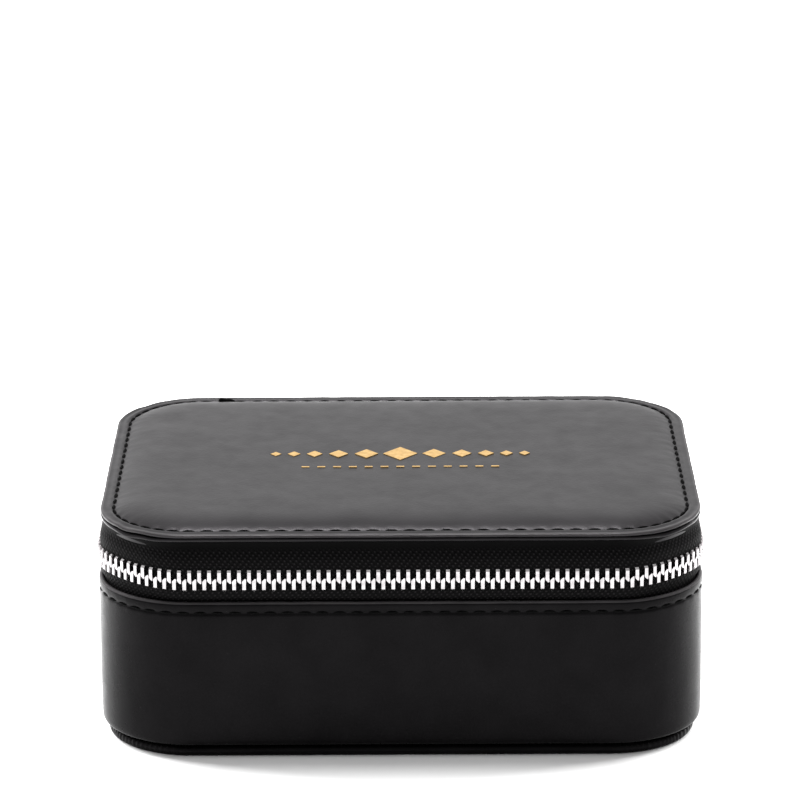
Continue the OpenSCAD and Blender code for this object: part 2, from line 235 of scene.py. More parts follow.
def sweep(name, line, distances, push=None, closed=True, whole=True, sharp=40.0, lift=None):
    """Carries a line of (inset, height) points along the outline. closed joins the line's ends,
    whole joins the outline's ends, push(distance, turn, inset, height) can move the points, and
    lift(x, y, inset, height) then gives an added height."""
    base, out, turn = path(distances)
    line = np.array(line, float)
    inset = np.tile(line[:, 0], (len(distances), 1))
    height = np.tile(line[:, 1], (len(distances), 1))
    if push:
        far, turn = (np.broadcast_to(v[:, None], inset.shape) for v in (distances, turn))
        inset, height = push(far, turn, inset, height)
    plan = place(base, out, inset)
    if lift:
        height = height + lift(plan[..., 0], plan[..., 1], inset, height)
    points = np.concatenate([plan, height[..., None]], 2).reshape(-1, 3)
    rows, columns = inset.shape
    faces, corners = grid_faces(rows, columns, whole, closed)
    along = np.append(distances, perimeter())
    steps = np.hypot(*np.diff(np.vstack([line, line[:1]]), axis=0).T)
    across = np.concatenate([[0], np.cumsum(steps)])
    uv = [(along[i], across[j]) for i, j in corners]
    if closed and not whole:
        for row in (0, rows - 1):
            faces.append([row * columns + j for j in range(columns)])
            uv += [(along[row], across[j]) for j in range(columns)]
    return solid(name, points, faces, uv, sharp)


def softened(node, width, segments, body, slot, material):
    """A copy of a CAD node with its edges rounded, on its body."""
    mesh = frame["nodes"][node].data.copy()
    mesh.name = node
    mesh.materials.clear()
    bm = bmesh.new()
    bm.from_mesh(mesh)
    bmesh.ops.remove_doubles(bm, verts=bm.verts, dist=1e-6)
    bmesh.ops.dissolve_limit(bm, angle_limit=math.radians(1), verts=bm.verts, edges=bm.edges)
    edges = [e for e in bm.edges if e.is_manifold and e.calc_face_angle(0) > math.radians(35)]
    bmesh.ops.bevel(bm, geom=edges, offset=width * MM, segments=segments, profile=0.5,
                    affect="EDGES", clamp_overlap=True)
    bm.to_mesh(mesh)
    bm.free()
    finish_mesh(mesh, 50)
    piece = bpy.data.objects.new(node, mesh)
    bpy.context.scene.collection.objects.link(piece)
    return belongs(piece, body, slot, material, node)


def joined(name, shapes, sharp=40.0):
    """One object from several (points, faces) shapes."""
    points, faces = [], []
    for more, quads in shapes:
        start = len(points)
        points += [tuple(p) for p in more]
        faces += [[start + k for k in face] for face in quads]
    return solid(name, points, faces, sharp=sharp)


def belongs(piece, body, slot, material, *nodes):
    """Puts a finished piece on its body, with its material, and hides the nodes it replaces; slot
    is not used.
    """
    piece.data.materials.clear()
    piece.data.materials.append(material)
    if nodes:
        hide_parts(*nodes)
    if body:
        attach(piece, body)
    return piece


def second_material(piece, material, chosen):
    """Gives another material to the faces whose middles, in millimetres, are chosen."""
    piece.data.materials.append(material)
    for face in piece.data.polygons:
        if chosen(*(face.center / MM)):
            face.material_index = 1


def wobble(x, y, z, size):
    """Smooth noise from -1 to 1 at points in millimetres, with bumps about size across."""
    return noise.noise(Vector((x / size, y / size, z / size)))


# ---- materials ----

def add_node(tree, kind, **values):
    """A shader node. Each value is an input's name, or a property's where no input has it."""
    made = tree.nodes.new(kind)
    for key, value in values.items():
        words = key.replace("_", " ").title()
        match = [s for s in made.inputs if s.name.lower() == words.lower() and s.enabled]
        if hasattr(made, key):
            setattr(made, key, value)
        else:
            match[0].default_value = value
    return made


def start_material(name, roughness, specular=0.5, metallic=0.0):
    material = bpy.data.materials.new(name)
    material.use_nodes = True
    tree = material.node_tree
    shader = tree.nodes["Principled BSDF"]
    shader.inputs["Roughness"].default_value = roughness
    shader.inputs["Specular IOR Level"].default_value = specular
    shader.inputs["Metallic"].default_value = metallic
    return material, tree, shader


def two_tone(tree, shader, source, dark, light, low=0.3, high=0.7):
    """Colours the surface between two tones as source goes from low to high."""
    ramp = add_node(tree, "ShaderNodeValToRGB")
    ramp.color_ramp.elements[0].position = low
    ramp.color_ramp.elements[0].color = (*dark, 1)
    ramp.color_ramp.elements[1].position = high
    ramp.color_ramp.elements[1].color = (*light, 1)
    tree.links.new(source, ramp.inputs["Fac"])
    tree.links.new(ramp.outputs["Color"], shader.inputs["Base Color"])
    return ramp


def mapped(tree, source, start, end, low=0.0, high=1.0):
    """A value that goes from low to high as source goes from start to end, and stays there."""
    made = add_node(tree, "ShaderNodeMapRange")
    for name, value in (("From Min", start), ("From Max", end), ("To Min", low), ("To Max", high)):
        made.inputs[name].default_value = value
    tree.links.new(source, made.inputs["Value"])
    return made.outputs["Result"]


def combined(tree, operation, first, second=None):
    """A math node's result. Each operand is a number or a socket."""
    made = add_node(tree, "ShaderNodeMath", operation=operation)
    for socket, value in zip(made.inputs, (first, second)):
        if isinstance(value, (int, float)):
            socket.default_value = value
        elif value is not None:
            tree.links.new(value, socket)
    return made.outputs["Value"]


def bumps(tree, shader, layers):
    """Chains bump nodes: each layer is (height socket, depth in millimetres, strength)."""
    before = None
    for source, depth, strength in layers:
        bump = add_node(tree, "ShaderNodeBump", strength=strength, distance=depth * MM)
        tree.links.new(source, bump.inputs["Height"])
        if before:
            tree.links.new(before, bump.inputs["Normal"])
        before = bump.outputs["Normal"]
    tree.links.new(before, shader.inputs["Normal"])


def object_noise(tree, size, detail=3.0, roughness=0.5):
    """Noise over the object with features about size millimetres across."""
    where = add_node(tree, "ShaderNodeTexCoord")
    made = add_node(tree, "ShaderNodeTexNoise", scale=1 / (size * MM), detail=detail,
                    roughness=roughness)
    tree.links.new(where.outputs["Object"], made.inputs["Vector"])
    return made.outputs["Fac"]


def object_cells(tree, size, feature="F1"):
    where = add_node(tree, "ShaderNodeTexCoord")
    made = add_node(tree, "ShaderNodeTexVoronoi", feature=feature, scale=1 / (size * MM))
    tree.links.new(where.outputs["Object"], made.inputs["Vector"])
    return made.outputs["Distance"]


def make_leather(name, dark, light, roughness, specular, grain, crease, worn=None):
    """Finished leather: pores, a fine grain, faint broad creases, shinier patches, and where worn
    is given that paler tone along its edges and folds."""
    material, tree, shader = start_material(name, roughness, specular)
    shader.inputs["Specular Tint"].default_value = (1.0, 0.95, 1.0, 1)
    ramp = two_tone(tree, shader, object_noise(tree, 9, 3), dark, light)
    if worn:
        shape = add_node(tree, "ShaderNodeNewGeometry")
        edges = mapped(tree, shape.outputs["Pointiness"], 0.54, 0.66)
        mix = add_node(tree, "ShaderNodeMix", data_type="RGBA")
        mix.inputs["B"].default_value = (*worn, 1)
        tree.links.new(edges, mix.inputs["Factor"])
        tree.links.new(ramp.outputs["Color"], mix.inputs["A"])
        tree.links.new(mix.outputs["Result"], shader.inputs["Base Color"])
    patches = mapped(tree, object_noise(tree, 3.5, 4), 0, 1, roughness - 0.07, roughness + 0.09)
    tree.links.new(patches, shader.inputs["Roughness"])
    bumps(tree, shader, [
        (object_noise(tree, 14.0, 3), crease, 0.5),
        (object_cells(tree, 0.55), grain, 0.5),
        (object_noise(tree, 0.22, 2), grain * 0.6, 0.5)])
    return material


def make_mottled(name, dark, light, roughness, specular, patches, layers):
    """A matt surface in two tones. patches is the tones' noise and layers are the bumps', as
    (noise, depth in millimetres, strength). Each noise is (size, detail) or has a roughness."""
    material, tree, shader = start_material(name, roughness, specular)
    two_tone(tree, shader, object_noise(tree, *patches), dark, light)
    bumps(tree, shader, [(object_noise(tree, *grain), depth, strength)
                         for grain, depth, strength in layers])
    return material, shader


def make_suede(name, dark, light):
    """Short nap: soft colour patches where it is brushed, and a velvety edge."""
    nap = [((2.5, 3), 0.08, 0.6), ((0.18, 3, 0.7), 0.05, 0.8)]
    material, shader = make_mottled(name, dark, light, 0.94, 0.2, (3.0, 6, 0.65), nap)
    shader.inputs["Sheen Weight"].default_value = 0.35
    shader.inputs["Sheen Roughness"].default_value = 0.5
    return material


def make_weave(name, dark, light, pitch, depth, slant):
    """Woven tape: threads along and across, laid out on the piece's own UV lengths. Near its first
    edge the weave fades out into the flat dark tone: painted shade where the tape goes in under the
    lid's edge and behind the wall."""
    material, tree, shader = start_material(name, 0.65, 0.04)
    where = add_node(tree, "ShaderNodeUVMap", uv_map="cloth")
    split = add_node(tree, "ShaderNodeSeparateXYZ")
    tree.links.new(where.outputs["UV"], split.inputs["Vector"])
    turns = 2 * math.pi / (pitch * MM)
    across = combined(tree, "MULTIPLY", split.outputs["Y"], turns)
    along = combined(tree, "MULTIPLY", split.outputs["X"], turns)
    leaning = combined(tree, "ADD", along, combined(tree, "MULTIPLY", across, slant))
    waves = [combined(tree, "SINE", angle) for angle in (leaning, across)]
    # Painted shade: the first 1.5 to 2.6 mm across the tape, tucked under the lid's edge, fade into
    # the flat dark tone.
    painted_recess_shade = mapped(tree, split.outputs["Y"], 1.5 * MM, 2.6 * MM)
    height = combined(tree, "MULTIPLY", combined(tree, "MULTIPLY", *waves), painted_recess_shade)
    two_tone(tree, shader, height, dark, light, 0.3, 0.95)
    bumps(tree, shader, [(height, depth, 0.8), (object_noise(tree, 0.12, 2), 0.02, 0.6)])
    return material


def make_metal(name, dark, light, roughness, scratch):
    material, tree, shader = start_material(name, roughness, 0.5, 1.0)
    two_tone(tree, shader, object_noise(tree, 1.2, 4), dark, light)
    patches = mapped(tree, object_noise(tree, 0.7, 5), 0, 1, roughness - 0.06, roughness + 0.12)
    tree.links.new(patches, shader.inputs["Roughness"])
    bumps(tree, shader, [(object_noise(tree, 0.4, 4), scratch, 0.4)])
    return material


LEATHER = make_leather("black_leather", (0.0015, 0.0014, 0.0015), (0.0035, 0.0033, 0.0035),
                       0.26, 0.045, 0.016, 0.06, (0.035, 0.033, 0.034))
# A paler, shinier copy of the black leather: painted light that lifts the underlay's edge face,
# which lies in the lid flange's shade.
LIT_EDGE_LEATHER = make_leather("black_edge_leather_painted_light", (0.004, 0.0037, 0.004), (0.008, 0.0075, 0.008),
                            0.30, 0.14, 0.016, 0.05, (0.04, 0.037, 0.039))
LID_LEATHER = make_leather("black_lid_leather", (0.005, 0.0045, 0.005), (0.009, 0.0083, 0.009),
                           0.34, 0.20, 0.022, 0.05)
# A paler, shinier copy of the black leather: painted highlight for the lid's rim crest and the
# wall's top fold.
HIGHLIGHT_LEATHER = make_leather("painted_highlight_lid_leather", (0.016, 0.015, 0.0155), (0.03, 0.028, 0.029),
                              0.32, 0.24, 0.02, 0.05)
SUEDE = make_suede("taupe_suede", (0.30, 0.24, 0.19), (0.47, 0.39, 0.32))
POCKET = make_suede("pocket_suede", (0.27, 0.215, 0.17), (0.42, 0.345, 0.28))
TAPE = make_weave("black_zip_tape", (0.0012, 0.0011, 0.0012), (0.012, 0.011, 0.0115),
                  1.16, 0.07, 0.25)
THREAD, _ = make_mottled("black_thread", (0.0006, 0.0006, 0.0006), (0.003, 0.003, 0.003),
                         0.75, 0.04, (0.5, 3), [((0.15, 2), 0.05, 0.8)])
NICKEL = make_metal("polished_nickel", (0.35, 0.335, 0.34), (0.52, 0.50, 0.505), 0.22, 0.02)
SNAP = make_metal("snap_nickel", (0.42, 0.41, 0.40), (0.58, 0.57, 0.56), 0.20, 0.008)
FOIL = make_metal("gold_foil", (0.62, 0.38, 0.12), (0.83, 0.56, 0.22), 0.38, 0.01)
BOARD, _ = make_mottled("grey_board", (0.20, 0.16, 0.12), (0.34, 0.28, 0.21), 0.9, 0.2,
                        (0.9, 6, 0.7), [((0.5, 4), 0.05, 0.6)])
FOAM = make_suede("wadding", (0.16, 0.16, 0.16), (0.26, 0.26, 0.26))


# ---- lid ----

def crown(inset):
    """Height of the padded field inside the seam."""
    rise = CROWN_Z + 0.1 - (FLANGE_TOP - 0.28)
    return FLANGE_TOP - 0.28 + rise * (1 - np.exp(-(inset - SEAM) / 2.7))


def pucker(distance):
    """1 between two stitches and -1 at each needle hole."""
    return np.cos(2 * math.pi * distance / seam_pitch(SEAM))


def seam_pitch(inset=0.0):
    """The stitches' pitch along the outline, for a seam at that inset with whole stitches."""
    return perimeter() / round(perimeter(inset) / STITCH_PITCH)


def ripple(distance, inset, size):
    """Slow unevenness along the outline, which repeats after one turn."""
    angle = distance * 2 * math.pi / perimeter()
    ring = perimeter() / (2 * math.pi) / size
    return np.vectorize(lambda a, b: noise.noise(Vector((
        math.cos(a) * ring, math.sin(a) * ring, b / size))))(angle, inset)


def sideways(distance):
    """1 where the outline faces left or right and 0 where it faces front or back."""
    _, out, _ = path(distance[:, 0])
    return out[:, :1] ** 2


def push_lid(distance, turn, inset, height):
    """Gathers the lid's leather at its seam and makes its edge a little uneven. The lid is
    slightly narrower than the zip and the wall."""
    top = height > FLANGE_Z + 0.3
    edge = np.clip(1 - inset / 2.5, 0, 1)
    narrow = 0.15 + 0.45 * sideways(distance)
    near = np.exp(-((inset - SEAM) / 0.9) ** 2)
    inside = np.where(inset > SEAM, np.exp(-(inset - SEAM) / 2.2), 0)
    calm = np.clip((14 - inset) / 6, 0, 1)
    gather = 0.03 * pucker(distance) * near
    gather += 0.012 * pucker(distance) * inside * calm
    gather += 0.05 * ripple(distance, inset * 0.2 + 40, 1.5) * inside * calm
    gather += 0.05 * ripple(distance, inset + 40, 3.0) * np.exp(-inset / 5) * calm
    corner = np.sin(math.pi * turn) ** 2
    lift = 0.22 * corner * edge * ripple(distance, inset * 0 + 7, 4.0)
    move = narrow * np.clip(1 - inset / 3, 0, 1) + 0.12 * ripple(distance, inset * 0, 6.0) * edge
    return inset + move, height + np.where(top, gather, 0) + lift


def swell_lid(x, y, inset, height):
    """The slow unevenness of the wadding under the lid's leather."""
    wave = np.vectorize(lambda a, b: wobble(a, b, 3.0, 17) + 0.5 * wobble(a, b, 9.0, 7))(x, y)
    return 0.09 * wave * np.clip(inset / 5 - 0.6, 0, 1) * (height > FLANGE_Z + 0.3)


def lid_leather():
    f = FLANGE_TOP
    line = [(HALF_Y, FLANGE_Z), (30, FLANGE_Z), (8, FLANGE_Z), (1.6, FLANGE_Z), (0.8, FLANGE_Z),
            (0.35, FLANGE_Z + 0.03), (0.12, FLANGE_Z + 0.12), (0.02, f - 0.36), (0.04, f - 0.2),
            (0.11, f - 0.10), (0.24, f - 0.03), (0.42, f + 0.02), (0.68, f + 0.02),
            (1.0, f - 0.07), (1.35, f - 0.10), (1.75, f - 0.05), (2.1, f + 0.03),
            (2.4, f + 0.04), (2.7, f - 0.04), (2.95, f - 0.2), (3.15, f - 0.3)]
    inner = [3.35, 3.55, 3.8, 4.1, 4.5, 5, 5.6, 6.3, 7.1, 8, 9, 10.2, 11.5, 13, 14.5, 16, 17.5,
             20, 23, 26, 29, 32, 35, 38, 41, 43.5]
    line += [(i, float(crown(i))) for i in inner]
    line += [(HALF_Y, float(crown(HALF_Y)))]
    piece = sweep("lid_leather", line, around(0.45, 0.42), push_lid, closed=False, sharp=75,
                  lift=swell_lid)
    belongs(piece, "lid", "leather", LID_LEATHER, "lid_leather")
    # Painted highlight: the rim's crest takes the paler leather.
    second_material(piece, HIGHLIGHT_LEATHER, lambda x, y, z: z > f - 0.3 and inset_of(x, y) < 1.1)
    return piece


def push_underlay(distance, turn, inset, height):
    corner = np.sin(math.pi * turn) ** 2
    edge = np.clip(1 - inset / 1.5, 0, 1)
    drop = 0.42 * corner * edge * (ripple(distance, inset * 0 + 21, 4.0) - 1.2)
    narrow = (0.10 + 0.40 * sideways(distance)) * edge
    return inset + narrow + 0.10 * ripple(distance, inset * 0 + 3, 5.0) * edge, height + drop


def lid_foam():
    """The wadding that fills out the pad, just under the leather."""
    rim = [(i, float(crown(i)) - 0.3) for i in (5.2, 6, 7, 8.5, 10.5, 13, 17, 24, 34, HALF_Y)]
    line = [(HALF_Y, FLANGE_Z + 0.04), (20, FLANGE_Z + 0.04), (4.9, FLANGE_Z + 0.04)] + rim
    piece = sweep("lid_foam", line, around(2, 1), closed=False)
    return belongs(piece, "lid", "foam", FOAM, "lid_foam")


def lid_underlay():
    """The second leather, wrapped under the lid's edge and over the board's."""
    z, t = PLATE_Z, FLANGE_Z - 0.02
    line = [(8, t), (0.6, t), (0.3, t - 0.04), (0.16, t - 0.16), (0.13, t - 0.35),
            (0.18, z + 0.14), (0.34, z + 0.03), (0.7, z), (1.7, z), (1.88, z - 0.1),
            (1.9, BOARD_Z + 0.1), (2.0, BOARD_Z - 0.06), (3.95, BOARD_Z - 0.08), (8, BOARD_Z + 0.5)]
    piece = sweep("lid_underlay", line, around(0.9, 0.6), push_underlay, sharp=50)
    # Painted light: the shaded underlay takes the paler copy of the leather.
    return belongs(piece, "lid", "leather", LIT_EDGE_LEATHER, "lid_underlay")


def stitch_shape(length, width, dip):
    """One stitch lying along x: a rounded strand that dips into the leather at both ends."""
    rings = [(-0.5, 0.15, 1.0), (-0.44, 0.75, 0.55), (-0.22, 1.0, 0.12), (0.0, 1.0, 0.0),
             (0.22, 1.0, 0.12), (0.44, 0.75, 0.55), (0.5, 0.15, 1.0)]
    sides = 8
    points = []
    for at, thick, low in rings:
        for k in range(sides):
            turn = 2 * math.pi * k / sides
            points.append((at * length, math.cos(turn) * width / 2 * thick,
                           math.sin(turn) * width / 2 * thick - dip * low))
    return np.array(points), tube_faces(len(rings), sides)


def stitches(name, inset, height, pitch_distance, length, width, up):
    """A run of stitches right round the case. up is True where they lie on a level surface."""
    shape, faces = stitch_shape(length, width, 0.28)
    count = round(perimeter() / pitch_distance)
    marks = (np.arange(count) + 0.5) * perimeter() / count
    base, out, _ = path(marks)
    shapes = []
    for k in range(count):
        along = np.array([out[k][1], -out[k][0], 0])
        outward = np.array([*out[k], 0])
        rise = np.array([0, 0, 1.0])
        side, top = (outward, rise) if up else (rise, outward)
        middle = np.array([*place(base[k:k + 1], out[k:k + 1], np.array([inset]))[0], height])
        skew = 0.06 * wobble(k * 5.3, 0, 0, 3)
        placed = (middle + np.outer(shape[:, 0], along + side * skew)
                  + np.outer(shape[:, 1], side) + np.outer(shape[:, 2], top))
        shapes.append((placed, faces))
    return joined(name, shapes)


def lid_stitches():
    piece = stitches("lid_stitches", SEAM - 0.05, FLANGE_TOP - 0.12, seam_pitch(SEAM), 2.75, 0.5,
                     True)
    return belongs(piece, "lid", "thread", THREAD, "lid_thread")


def lid_knot():
    """The backstitches that finish the lid's seam at the back left, and their small knot."""
    shape, faces = stitch_shape(2.9, 0.6, 0.1)
    shapes = []
    for k in range(3):
        middle = (-37.4 + 0.35 * k, HALF_Y - SEAM + 0.2 * (k % 2), FLANGE_TOP + 0.1 + 0.1 * (k % 2))
        shapes.append((shape * (1, 1, 1.2) + middle, faces))
    knot, faces = stitch_shape(1.3, 0.9, 0.05)
    shapes.append((knot + (-38.1, HALF_Y - SEAM, FLANGE_TOP + 0.28), faces))
    return belongs(joined("lid_knot", shapes), "lid", "thread", THREAD)


def ornament_height(x, y):
    """Height of the lid's leather under the ornament, where the field is almost level."""
    return float(crown(inset_of(x, y)))


def lozenge(x, y, wide, tall):
    return [(x - wide / 2, y), (x, y + tall / 2), (x + wide / 2, y), (x, y - tall / 2)]


def lid_ornament():
    """The gold foil: a row of lozenges that grow towards the middle, over a row of dashes."""
    reach = span("lid_ornament")[1].x
    outlines = [lozenge(0, 1.4, 7.0, 8.4)]
    for side in (-1, 1):
        for x, size in ((6.9, 5.6), (12.6, 4.6), (17.5, 3.8), (21.7, 3.1), (25.4, 2.6)):
            outlines.append(lozenge(side * min(x, reach - size * 0.45), 1.4, size * 0.85, size))
    for k in range(-6, 7):
        x = k * 3.2
        outlines.append([(x - 0.8, -7.3), (x - 0.8, -6.7), (x + 0.8, -6.7), (x + 0.8, -7.3)])
    shapes = []
    for outline in outlines:
        low = [(x, y, ornament_height(x, y) - 0.3) for x, y in outline]
        top = [(x, y, ornament_height(x, y) + 0.13) for x, y in outline]
        shapes.append((low + top, tube_faces(2, len(outline))))
    return belongs(joined("lid_ornament", shapes, 20), "lid", "foil", FOIL, "lid_ornament")


def lid_lining():
    """Suede over the lid's rim and across its inside."""
    low = span("lid_rim")[0].z
    ceiling = span("lid_lining")[1].z - 0.6
    line = [(3.88, BOARD_Z - 0.1), (3.88, low + 0.6), (4.0, low + 0.1), (4.4, low - 0.12),
            (5.1, low - 0.12), (5.6, low + 0.05), (5.84, low + 0.5), (5.86, low + 2.5),
            (5.9, ceiling - 0.7), (6.2, ceiling - 0.2), (6.9, ceiling), (12, ceiling),
            (25, ceiling), (HALF_Y, ceiling), (HALF_Y, BOARD_Z + 0.1), (5, BOARD_Z + 0.1)]
    piece = sweep("lid_lining", line, around(1.5, 0.8), push_nap, sharp=60)
    return belongs(piece, "lid", "suede", SUEDE, "lid_lining")


def push_nap(distance, turn, inset, height):
    """The slight unevenness of cloth glued to board."""
    calm = np.clip((HALF_Y - inset) / 20, 0, 1)
    return (inset + 0.05 * ripple(distance, height, 5.0) * calm,
            height + 0.05 * ripple(distance, inset + 13, 6.0) * calm)


# ---- base ----

def push_wall(distance, turn, inset, height):
    """Leather drawn round the wall: slack between its hems, with faint folds in the corners."""
    outer = inset < 0.7
    rise = np.clip((height - WALL_Z) / (WALL_TOP - WALL_Z), 0, 1)
    belly = np.sin(math.pi * rise) ** 0.5
    corner = np.sin(math.pi * turn) ** 2
    slack = 0.10 * ripple(distance, height, 16) * belly
    folds = 0.035 * corner * ripple(distance, height * 0.25, 2.5) * belly
    seam = np.exp(-((height - STITCH_Z) / 0.8) ** 2)
    stitch = 0.05 * np.cos(2 * math.pi * distance / seam_pitch()) * seam
    hem = 0.05 * ripple(distance, height * 0 + 9, 3.0) * np.clip((height - STITCH_Z) / 2, 0, 1)
    move = -0.05 * belly - slack - folds - stitch - hem
    return inset + np.where(outer, move, 0), height + 0.06 * ripple(distance, inset * 0, 7) * rise


def wall_leather():
    top, low = WALL_TOP, WALL_Z
    line = [(6, low), (1.2, low), (0.6, low + 0.06), (0.22, low + 0.24), (0.05, low + 0.6)]
    line += [(0, z) for z in np.linspace(low + 1.4, STITCH_Z - 1.6, 24)]
    line += [(0, STITCH_Z - 0.9), (0.02, STITCH_Z - 0.5), (0.12, STITCH_Z - 0.25),
             (0.2, STITCH_Z), (0.12, STITCH_Z + 0.25), (0.0, STITCH_Z + 0.5),
             (-0.06, STITCH_Z + 1.0), (-0.06, top - 0.75), (0.0, top - 0.4), (0.14, top - 0.14),
             (0.36, top), (0.62, top), (0.86, top - 0.14), (0.98, top - 0.4), (1.0, top - 2),
             (1.0, low + 1.2), (6, low + 0.55)]
    piece = sweep("wall_leather", line, around(0.9, 0.6), push_wall, sharp=60)
    belongs(piece, "base", "leather", LEATHER, "wall_leather")
    # Painted highlight: the wall's top fold takes the paler leather.
    second_material(piece, HIGHLIGHT_LEATHER, lambda x, y, z: z > top - 0.3)
    return piece


def wall_stitches():
    piece = stitches("wall_stitches", 0.1, STITCH_Z, seam_pitch(), 2.7, 0.42, False)
    return belongs(piece, "base", "thread", THREAD, "wall_thread")


def push_lip(distance, turn, inset, height):
    """Small gathered pleats where the base panel's leather goes round its corners."""
    corner = np.clip(np.sin(math.pi * turn) * 1.6, 0, 1)
    edge = np.clip(1 - (inset - 1.2) / 3.5, 0, 1)
    wave = np.sin(2 * math.pi * distance / 2.6 + 3 * ripple(distance, inset * 0, 8))
    pleat = np.abs(wave) ** 0.6 * np.clip(height / 0.8, 0, 1)
    move = 0.20 * corner * edge * pleat + 0.06 * edge * ripple(distance, height, 9)
    return inset + move, height - 0.10 * corner * edge * pleat * (height > 1)


def base_cover():
    line = [(HALF_Y, 0), (20, 0), (6, 0), (2.4, 0.0), (1.75, 0.06), (1.38, 0.3), (1.22, 0.7),
            (1.2, 1.05), (1.28, LIP_TOP - 0.3), (1.46, LIP_TOP - 0.02), (1.8, LIP_TOP + 0.13),
            (3.2, LIP_TOP + 0.14), (5, LIP_TOP + 0.1)]
    piece = sweep("base_cover", line, around(0.9, 0.32), push_lip, closed=False, sharp=70)
    return belongs(piece, "base", "leather", LEATHER, "base_cover")


def base_groove():
    """The dark leather of the groove between the wall and the base panel."""
    line = [(2.9, LIP_TOP - 0.2), (2.9, WALL_Z + 0.3), (4.5, WALL_Z + 0.3), (4.5, LIP_TOP - 0.2)]
    piece = sweep("base_groove", line, around(2, 1))
    return belongs(piece, "base", "leather", LEATHER, "base_filler")


def base_lining():
    """Suede over the ledge inside the zip, the collar, the inner wall and the floor."""
    ledge = span("wall_board")[1].z
    top = span("inner_collar")[1].z
    floor = span("base_lining")[0].z + 0.6
    line = [(1.75, ledge - 0.4), (1.8, ledge + 0.15), (2.2, ledge + 0.3), (3.4, ledge + 0.35),
            (3.75, ledge + 0.6), (3.86, ledge + 1.2), (3.88, top - 0.6), (4.05, top - 0.1),
            (4.5, top + 0.14), (5.2, top + 0.14), (5.62, top - 0.02), (5.84, top - 0.5)]
    line += [(5.86, z) for z in np.linspace(top - 2, floor + 2, 10)]
    line += [(6.0, floor + 0.5), (6.6, floor + 0.05), (12, floor), (25, floor), (HALF_Y, floor),
             (HALF_Y, floor - 0.55), (5.3, floor - 0.55), (5.3, ledge - 0.4)]
    piece = sweep("base_lining", line, around(1.5, 0.8), push_nap, sharp=60)
    return belongs(piece, "base", "suede", SUEDE, "base_lining")


# ---- pads, rolls and dividers ----

def simulate(piece, grow, cap, voxel):
    """Swells a closed form like stuffed cloth. It works at twenty times life size, where the
    cloth solver is steady, and no point moves further than cap millimetres."""
    life = 20.0
    piece.data.transform(Matrix.Scale(life, 4))
    remesh = piece.modifiers.new("remesh", "REMESH")
    remesh.mode = "VOXEL"
    remesh.voxel_size = voxel * MM * life
    bpy.context.view_layer.objects.active = piece
    bpy.ops.object.select_all(action="DESELECT")
    piece.select_set(True)
    bpy.ops.object.modifier_apply(modifier="remesh")
    start = np.array([v.co for v in piece.data.vertices])
    cloth = piece.modifiers.new("cloth", "CLOTH")
    cloth.settings.use_pressure = True
    cloth.settings.uniform_pressure_force = grow
    cloth.settings.effector_weights.gravity = 0
    cloth.settings.quality = 6
    cloth.settings.bending_stiffness = 4
    cloth.collision_settings.use_collision = False
    cloth.point_cache.frame_start = 1
    cloth.point_cache.frame_end = 20
    for number in range(1, 21):
        bpy.context.scene.frame_set(number)
    bpy.ops.object.modifier_apply(modifier="cloth")
    bpy.context.scene.frame_set(1)
    points = np.array([v.co for v in piece.data.vertices])
    move = points - start
    length = np.linalg.norm(move, axis=1, keepdims=True)
    points = start + move * np.minimum(1, cap * MM * life / np.maximum(length, 1e-9))
    piece.data.vertices.foreach_set("co", (points / life).ravel())
    piece.data.update()
    smooth = piece.modifiers.new("smooth", "SUBSURF")
    smooth.levels = smooth.render_levels = 1
    bpy.ops.object.modifier_apply(modifier="smooth")
    piece.data.polygons.foreach_set("use_smooth", [True] * len(piece.data.polygons))


def pad_shape(name, low, high, crown_by):
    """A stuffed pad between two corners: level underneath and crowned on top, with its plan
    trimmed to the case's round corners."""
    columns, rows = (max(8, round((high[k] - low[k]) / 1.2)) for k in (0, 1))

    def point(u, v, layer):
        x, y = low[0] + (high[0] - low[0]) * u, low[1] + (high[1] - low[1]) * v
        x, y = into_corner(x, y, PAD_IN)
        if not layer:
            return x, y, low[2]
        edge = (1 - (2 * u - 1) ** 8) * (1 - (2 * v - 1) ** 8)
        rise = edge ** 0.45
        uneven = 0.25 * wobble(x, y, low[2], 9) * rise
        return x, y, low[2] + 0.5 + (high[2] - low[2] - 0.5) * rise + crown_by * edge + uneven

    return solid(name, *two_layers(columns, rows, point), sharp=180)


def into_corner(x, y, trim):
    """Draws a plan point inside the case's round corner at that inset."""
    dx, dy = abs(x) - SIDE_X, abs(y) - SIDE_Y
    if dx > 0 and dy > 0:
        far = math.hypot(dx, dy)
        most = CORNER_R - trim
        if far > most:
            x = math.copysign(SIDE_X + dx * most / far, x)
            y = math.copysign(SIDE_Y + dy * most / far, y)
    return x, y


def floor_pads():
    for node in ("pad_front", "pad_back_left", "pad_back_right", "pad_rings"):
        low, high = span(node)
        low, high = low + Vector((0.2, 0.2, 0)), high - Vector((0.2, 0.2, 0.4))
        piece = pad_shape(node, low, high, 0.7)
        simulate(piece, 1.5, 0.5, 0.7)
        belongs(piece, "base", "suede", SUEDE, node)


